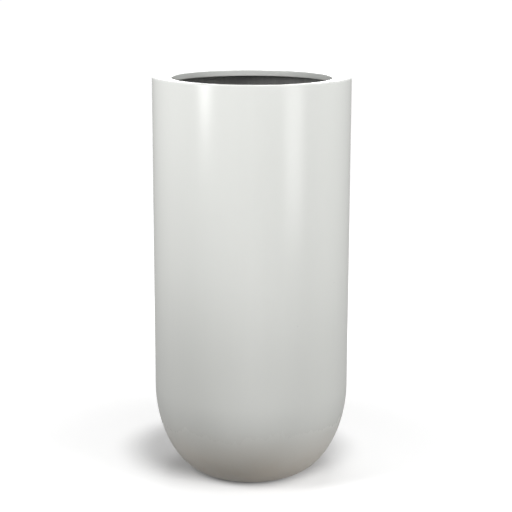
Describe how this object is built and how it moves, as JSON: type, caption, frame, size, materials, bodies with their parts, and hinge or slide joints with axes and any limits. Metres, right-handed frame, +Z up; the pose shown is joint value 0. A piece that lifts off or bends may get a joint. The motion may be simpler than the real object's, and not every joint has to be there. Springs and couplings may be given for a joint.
{
  "type": "tall round planter",
  "caption": "Tall round fibreglass planter with a wide rim, turned-down lip, domed bottom on a small flat foot, lift-out drainage grate and pull-out drain plug.",
  "frame": {"origin": "on the floor under the middle of the planter", "axes": "+Z up along the planter's axis; the first foot pad is centred on +X"},
  "size_m": [0.5, 0.5, 1.034],
  "materials": {
    "gelcoat": "semi-gloss off-white gelcoat outside, dark grey coating inside",
    "laminate": "glass-fibre laminate under dark grey coating",
    "ballast": "cast cement mix",
    "grate": "moulded black plastic",
    "fitting": "moulded grey plastic",
    "rubber": "matt black rubber"
  },
  "bodies": {
    "planter": {"planter_shell": "gelcoat", "rim_collar": "gelcoat", "joint_band": "laminate", "ballast_ring": "ballast", "ballast_cover": "laminate", "shelf_ledge": "laminate", "drain_bush": "fitting", "drain_gasket": "rubber", "drain_locknut": "fitting", "foot_pads": "rubber"},
    "grate": {"drainage_grate": "grate"},
    "plug": {"drain_plug": "rubber"}
  },
  "joints": [
    {"name": "grate_lift", "type": "slide", "parent": "planter", "child": "grate", "axis": [0, 0, 1], "range_m": [0, 1]},
    {"name": "plug_pull", "type": "slide", "parent": "planter", "child": "plug", "axis": [0, 0, 1], "range_m": [0, 1.05]}
  ]
}
